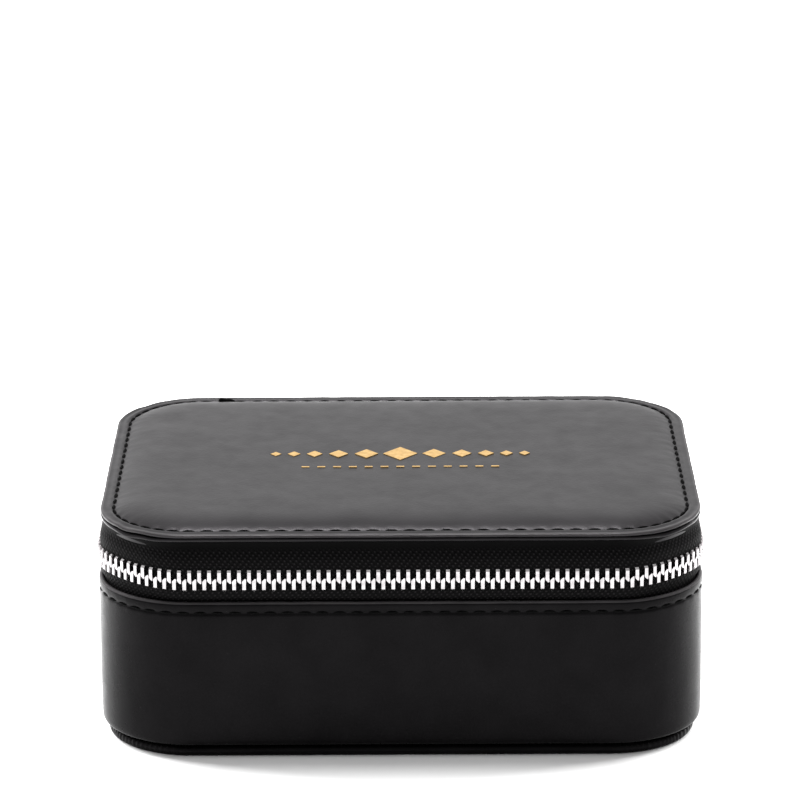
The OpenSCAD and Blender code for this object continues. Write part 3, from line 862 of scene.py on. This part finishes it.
def roll_shape(name, low, high, seed):
    """A ring roll: a stuffed round top on a straight body, its cloth slack in small folds."""
    r = (high.y - low.y) / 2 - 0.15
    y0 = (low.y + high.y) / 2
    section = [(-r, low.z), (-r - 0.05, (low.z + high.z) / 2 - 2)]
    steps = 16
    for k in range(steps + 1):
        turn = math.pi - math.pi * k / steps
        section.append((math.cos(turn) * r, high.z - r + math.sin(turn) * r))
    section += [(r + 0.05, (low.z + high.z) / 2 - 2), (r, low.z)]
    count = 36
    points = []
    for i in range(count + 1):
        u = i / count
        edge = (1 - (2 * u - 1) ** 10) ** 0.4 if 0 < i < count else 0.0
        size = 0.86 + 0.14 * edge
        for y, z in section:
            x = low.x + (high.x - low.x) * u
            fold = 0.22 * wobble(x * 1.6, y + seed * 17, z, 3.2) * edge
            yy = y0 + y * size * (1 + fold / r)
            zz = low.z + (z - low.z) * (0.95 + 0.05 * edge) + fold * (z > high.z - r)
            x, yy = into_corner(x, yy, ROLL_IN)
            points.append((x, yy, zz))
    return solid(name, points, tube_faces(count + 1, len(section)), sharp=180)


def ring_rolls():
    for n in range(1, 7):
        node = f"ring_roll_{n}"
        low, high = span(node)
        piece = roll_shape(node, low + Vector((0.2, 0, 0)), high - Vector((0.2, 0, 0)), n)
        simulate(piece, 2.0, 0.35, 0.7)
        belongs(piece, "base", "suede", SUEDE, node)


def dividers():
    for node in ("divider_rings", "divider_long", "divider_cross"):
        softened(node, 0.35, 2, "base", "suede", SUEDE)


# ---- zip ----

def tape_line(points, thickness, bead):
    """A tape's outline from its outer line of (inset, height) points, with the round cord that the
    teeth are clamped on at its first end."""
    outer = np.array(points, float)
    away = 1 if outer[-1, 1] > outer[0, 1] else -1
    cord = [(bead[0] + bead[2] * math.cos(a), bead[1] - away * bead[2] * math.sin(a))
            for a in np.linspace(0, math.pi, 9)]
    inner = [(i + thickness, z) for i, z in points]
    return [tuple(p) for p in points[::-1]] + cord[::-1] + inner


def corner_cut(turn):
    return CORNER_CUT * np.sin(math.pi * turn) ** 2


def push_tape(distance, turn, inset, height):
    """A little slack, and the zip's straighter way round the corners, between its glued edges."""
    above, below = (height - WALL_TOP + 0.5) / 1.5, (PLATE_Z - 0.4 - height) / 1.6
    free = np.clip(above, 0, 1) * np.clip(below, 0, 1)
    return inset + 0.05 * ripple(distance, height, 6.0) + corner_cut(turn) * free, height


UPPER_TAPE = tape_line([(0.42, PART_Z + 1.0), (0.36, PART_Z + 2.4), (0.36, PART_Z + 3.5),
                        (0.52, PART_Z + 4.4), (0.92, PART_Z + 5.3), (1.25, PART_Z + 6.1),
                        (1.36, PLATE_Z - 1.0), (1.38, PLATE_Z + 0.2)], 0.45,
                       (0.62, PART_Z + 0.55, 0.42))
LOWER_TAPE = tape_line([(0.42, PART_Z - 1.0), (0.38, PART_Z - 2.4), (0.42, PART_Z - 3.5),
                        (0.8, WALL_TOP + 0.5), (1.1, WALL_TOP - 0.2), (1.14, WALL_TOP - 3),
                        (1.14, WALL_TOP - 8.6)], 0.42, (0.62, PART_Z - 0.55, 0.42))


def stretch(start, end, step=0.9):
    return np.linspace(start, end, max(2, round((end - start) / step) + 1))


def zip_tapes():
    gap = HINGE_HALF + 0.5
    whole = perimeter()
    piece = sweep("zip_tape_lower", LOWER_TAPE, stretch(gap, whole - gap), push_tape, whole=False)
    belongs(piece, "base", "tape", TAPE, "zip_tape_lower")
    piece = sweep("zip_tape_upper", UPPER_TAPE, stretch(SIDE_X + GUSSET, whole - gap), push_tape,
                  whole=False)
    belongs(piece, "lid", "tape", TAPE, "zip_tape_upper")


def tape_end():
    """The upper tape beside the hinge, swept in two pieces that are put on no body. On the case its
    lower edge is held to the base along the slider's run, so there it folds over to the lid, and
    round the corner the fold slants down to the parting line; the fold's slopes worked out here are
    not applied."""
    line = np.array(UPPER_TAPE)
    fine = []
    for a, b in zip(line, np.vstack([line[1:], line[:1]])):
        parts = max(1, int(np.hypot(*(b - a)) / 0.25))
        fine += [tuple(a + (b - a) * k / parts) for k in range(parts)]
    fold_z, fold = PART_Z + 3.0, 4.2
    slopes = Vector(((1 + 2.6 / fold) / GUSSET_X, 0, 1 / fold))
    for name, first, last, slope in (
            ("zip_tape_end_near", HINGE_HALF + 0.5, SIDE_X, Vector((0, 0, 1 / fold))),
            ("zip_tape_end_far", SIDE_X, SIDE_X + GUSSET, slopes)):
        piece = sweep(name, fine, stretch(first, last, 0.4), push_tape, whole=False)
        belongs(piece, None, "tape", TAPE, "zip_tape_end_upper")
        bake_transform(piece)


# One tooth as seen from outside, as (along, away from the parting line): a straight shank with
# a slanting head, and how deep each of its layers lies, how low its top is cut and how wide it is.
TOOTH = [(-0.37, 2.14), (0.37, 2.14), (0.37, 1.45), (0.38, 0.70), (0.43, 0.38), (0.42, 0.12),
         (0.28, -0.10), (-0.12, -0.47), (-0.28, -0.52), (-0.42, -0.40), (-0.43, 0.0),
         (-0.38, 0.60), (-0.37, 1.45)]
TOOTH_LAYERS = [(-1.05, 0.35, 0.85), (-0.9, 0.0, 1.0), (0.45, 0.0, 1.0), (0.78, 0.30, 1.0),
                (0.85, 0.38, 0.93)]


def tooth_points():
    """The tooth as (along, away from the parting line, outward) points."""
    points = []
    for depth, cut, wide in TOOTH_LAYERS:
        for a, b in TOOTH:
            points.append((a * wide, min(b, 2.14 - cut) if b > 1.3 else b * (0.5 + 0.5 * wide),
                           depth))
    return np.array(points), tube_faces(len(TOOTH_LAYERS), len(TOOTH))


def teeth(name, upper, first, last, body, *nodes):
    """The teeth of one row whose places along the chain lie between first and last."""
    shape, faces = tooth_points()
    arc = perimeter(TOOTH_INSET)
    shift = 0 if upper else TOOTH_PITCH / 2
    numbers = range(math.ceil((first - shift) / TOOTH_PITCH),
                    math.floor((last - shift - 0.01) / TOOTH_PITCH) + 1)
    marks = np.array([CHAIN_START + k * TOOTH_PITCH + shift for k in numbers])
    base, out, turn = path(marks % arc, TOOTH_INSET)
    spots = place(base, out, TOOTH_INSET + corner_cut(turn))
    shapes = []
    for k, spot in enumerate(spots):
        along = np.array([out[k][1], -out[k][0], 0])
        outward = np.array([*out[k], 0])
        rise = np.array([0, 0, 1.0 if upper else -1.0])
        sway = 0.03 * wobble(k * 3.7, 5.0 * upper, 0, 2)
        placed = (np.array([*spot, PART_Z]) + np.outer(shape[:, 0] + sway, along)
                  + np.outer(shape[:, 1], rise) + np.outer(shape[:, 2], outward))
        shapes.append((placed, faces))
    piece = joined(name, shapes, 28)
    return belongs(piece, body, "zip_metal", NICKEL, *nodes)


def zip_teeth():
    straight = SIDE_X - CHAIN_START
    opened = straight + GUSSET
    chain = perimeter(TOOTH_INSET) - CHAIN_START - HINGE_HALF - 2
    teeth("zip_teeth_upper", True, opened, chain, "lid", "zip_teeth_upper")
    teeth("zip_teeth_lower", False, straight, chain, "base", "zip_teeth_lower")
    teeth("zip_teeth_end_lower", False, 0, straight, "base", "zip_teeth_end_lower")
    end = teeth("zip_teeth_end_upper", True, 0, opened, None, "zip_teeth_end_upper")
    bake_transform(end)


def zip_hardware():
    for node, body, width in (("zip_slider", "slider", 0.28), ("zip_slider_bail", "slider", 0.2),
                              ("zip_puller", "puller", 0.22), ("zip_bottom_stop", "base", 0.25),
                              ("zip_top_stop_lower", "base", 0.25),
                              ("zip_top_stop_upper", "lid", 0.25)):
        softened(node, width, 3, body, "zip_metal", NICKEL)


# ---- hinge ----

def hinge_strip():
    """The leather between the ends of the zip. On the case it bends about the parting line with the
    lid; here it is put on no body and does not bend.
    """
    y = HALF_Y
    outer = [(y - 1.06, WALL_TOP - 8.8), (y - 1.06, WALL_TOP - 1), (y - 1.0, WALL_TOP + 0.1),
             (y - 0.55, WALL_TOP + 0.7), (y - 0.2, WALL_TOP + 1.6), (y - 0.1, WALL_TOP + 2.8)]
    outer += [(y - 0.1 - 0.12 * math.sin(math.pi * k / 12), z)
              for k, z in enumerate(np.linspace(WALL_TOP + 3.2, PLATE_Z - 1.4, 13))]
    outer += [(y - 0.12, PLATE_Z - 0.6), (y - 0.2, PLATE_Z + 0.1)]
    inner = [(a - 0.75, z) for a, z in outer]
    line = outer + inner[::-1]
    columns = np.linspace(-HINGE_HALF - 0.45, HINGE_HALF + 0.45, 40)
    points = [(x, a + 0.10 * wobble(x, 0, z, 4.0), z) for x in columns for a, z in line]
    piece = solid("hinge_strip", points, tube_faces(len(columns), len(line)), sharp=60)
    belongs(piece, None, "leather", LEATHER, "hinge_strip")
    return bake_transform(piece)


# ---- inside the lid ----


def lid_pocket():
    """A gathered pocket across the back half of the lid, drawn in at its mouth."""
    low, high = span("lid_pocket")
    width, depth = high.x - low.x, high.y - low.y
    ceiling = high.z - 0.05

    def point(u, v, layer):
        x, y = into_corner(low.x + width * u, low.y + depth * v, POCKET_IN)
        free = (1 - (2 * u - 1) ** 12) * (1 - v ** 6)
        wave = math.sin(x * 2 * math.pi / 3.1 + 2.2 * wobble(x, y * 0.12, 0, 5))
        gather = (0.42 * (1 - v) ** 1.6 + 0.10) * wave + 0.30 * wobble(x, y * 0.25, 3, 4)
        z = ceiling - (1.15 + 0.45 * gather) * free - 0.12
        return x, y, z if layer else z + 0.35

    piece = solid("lid_pocket", *two_layers(220, 36, point), sharp=180)
    return belongs(piece, "lid", "suede", POCKET, "lid_pocket")


def pocket_mouth():
    """The pocket's hem: a round band ruffled by the elastic inside it."""
    low, high = span("lid_pocket_elastic")
    columns, sides = 260, 14
    points = []
    middle, half = (low + high) / 2, (high - low) / 2
    for i in range(columns + 1):
        x = low.x + (high.x - low.x) * i / columns
        ruffle = 1 + 0.16 * math.sin(x * 2 * math.pi / 2.1 + 1.5 * wobble(x, 0, 0, 4))
        for k in range(sides):
            turn = 2 * math.pi * k / sides
            y = middle.y + math.cos(turn) * half.y * (0.95 + 0.05 * ruffle)
            z = middle.z + math.sin(turn) * half.z * ruffle
            points.append((x, y, z))
    piece = solid("pocket_mouth", points, tube_faces(columns + 1, sides), sharp=180)
    return belongs(piece, "lid", "elastic", POCKET, "lid_pocket_elastic")


def necklace_tabs():
    softened("hook_strip", 0.25, 2, "lid", "leather", LEATHER)
    softened("snap_sockets", 0.12, 2, "lid", "snap_metal", SNAP)
    for n in (1, 2, 3):
        body = f"necklace_tab_{n}"
        softened(body, 0.22, 2, body, "leather", LEATHER)
        belongs(snap_cap(n), body, "snap_metal", SNAP, f"snap_cap_{n}")


def snap_cap(n):
    """A domed cap with a rolled rim under the tab, and its stem."""
    low, high = span(f"snap_cap_{n}")
    middle = (low + high) / 2
    r = (high.x - low.x) / 2
    top = low.z + 0.7
    section = [(0, low.z - 0.12), (r * 0.35, low.z - 0.10), (r * 0.65, low.z),
               (r * 0.86, low.z + 0.16), (r * 0.90, low.z + 0.12), (r * 0.97, low.z + 0.14),
               (r, low.z + 0.32), (r * 0.97, top - 0.08), (r * 0.88, top), (0.95, top),
               (0.95, high.z - 0.1), (0.8, high.z), (0, high.z)]
    sides = 40
    points = [(middle.x + a * math.cos(2 * math.pi * k / sides),
               middle.y + a * math.sin(2 * math.pi * k / sides), z)
              for k in range(sides) for a, z in section]
    faces, _ = grid_faces(sides, len(section), True, False)
    return solid(f"snap_cap_{n}", points, faces, sharp=40)


# ---- nodes that stay as the CAD made them ----

def carried_over():
    finishes = {"base_board": BOARD, "floor_board": BOARD, "wall_board": BOARD,
                "inner_collar": BOARD, "lid_board": BOARD, "lid_rim": BOARD,
                "wall_padding": FOAM}
    for node, material in finishes.items():
        mesh = frame["nodes"][node].data
        mesh.materials.clear()
        mesh.materials.append(material)


# ---- camera, light and floor ----

def camera():
    """The viewing angle: level with a table-top, square to the front, through a long lens."""
    pitch, roll, distance = math.radians(17.5), math.radians(0.27), 805.0
    front_rim = Vector((0, -HALF_Y, FLANGE_TOP))
    forward = Vector((0, math.cos(pitch), -math.sin(pitch)))
    up = Vector((0, math.sin(pitch), math.cos(pitch)))
    data = bpy.data.cameras.new("camera")
    data.lens = 186.9
    data.sensor_width = 36
    data.clip_start, data.clip_end = 0.05, 20
    view = bpy.data.objects.new("camera", data)
    where = front_rim - forward * distance + up * 26.2
    right = forward.cross(up)
    tilt = Matrix((right, up, -forward)).transposed().to_4x4() @ Matrix.Rotation(-roll, 4, "Z")
    view.matrix_world = Matrix.Translation(where * MM) @ tilt
    bpy.context.scene.collection.objects.link(view)
    bpy.context.scene.camera = view


def lamp(name, kind, energy, where, aim):
    """A soft lamp: a broad sun, or a panel that lights the floor without being mirrored."""
    data = bpy.data.lights.new(name, kind)
    made = bpy.data.objects.new(name, data)
    data.energy = energy
    if kind == "SUN":
        data.angle = math.radians(15)
    else:
        data.shape = "RECTANGLE"
        data.size, data.size_y = 0.15, 0.3
        made.visible_glossy = False
    made.location = where
    made.rotation_euler = (Vector(aim) - Vector(where)).to_track_quat("-Z", "Y").to_euler()
    bpy.context.scene.collection.objects.link(made)


def studio():
    """A white room, brighter on the left and behind and dimmer in front, with a soft sun."""
    scene = bpy.context.scene
    scene.view_settings.view_transform = "Standard"
    world = bpy.data.worlds.new("studio")
    scene.world = world
    world.use_nodes = True
    tree = world.node_tree
    where = add_node(tree, "ShaderNodeTexCoord")
    split = add_node(tree, "ShaderNodeSeparateXYZ")
    tree.links.new(where.outputs["Generated"], split.inputs["Vector"])
    sides = mapped(tree, split.outputs["X"], -1, 1, LEFT_LIGHT, RIGHT_LIGHT)
    depth = mapped(tree, split.outputs["Y"], -1, 1, FRONT_LIGHT, BACK_LIGHT)
    strength = combined(tree, "MULTIPLY", sides, depth)
    tree.links.new(strength, tree.nodes["Background"].inputs["Strength"])
    tree.nodes["Background"].inputs["Color"].default_value = (1, 1, 1, 1)
    lamp("top_lamp", "SUN", TOP_LAMP, (-0.03, 0.13, 0.75), (0, 0, 0))
    lamp("left_lamp", "AREA", LEFT_LAMP, (-0.27, 0.1, 0.22), (-0.2, 0.08, 0))
    lamp("right_lamp", "AREA", RIGHT_LAMP, (0.27, 0.1, 0.22), (0.2, 0.08, 0))
    material, tree, shader = start_material("white_floor", 0.6, 0.2)
    two_tone(tree, shader, object_noise(tree, 60, 2), (0.93, 0.93, 0.93), (0.95, 0.95, 0.95))
    half = 6.0
    mesh = bpy.data.meshes.new("floor")
    mesh.from_pydata([(-half, -half, 0), (half, -half, 0), (half, half, 0), (-half, half, 0)], [],
                     [[0, 1, 2, 3]])
    mesh.materials.append(material)
    floor = bpy.data.objects.new("floor", mesh)
    scene.collection.objects.link(floor)


camera()
studio()
carried_over()
lid_leather()
lid_foam()
lid_underlay()
lid_stitches()
lid_knot()
lid_ornament()
lid_lining()
wall_leather()
wall_stitches()
base_cover()
base_groove()
base_lining()
floor_pads()
ring_rolls()
dividers()
zip_tapes()
tape_end()
zip_teeth()
zip_hardware()
hinge_strip()
lid_pocket()
pocket_mouth()
necklace_tabs()
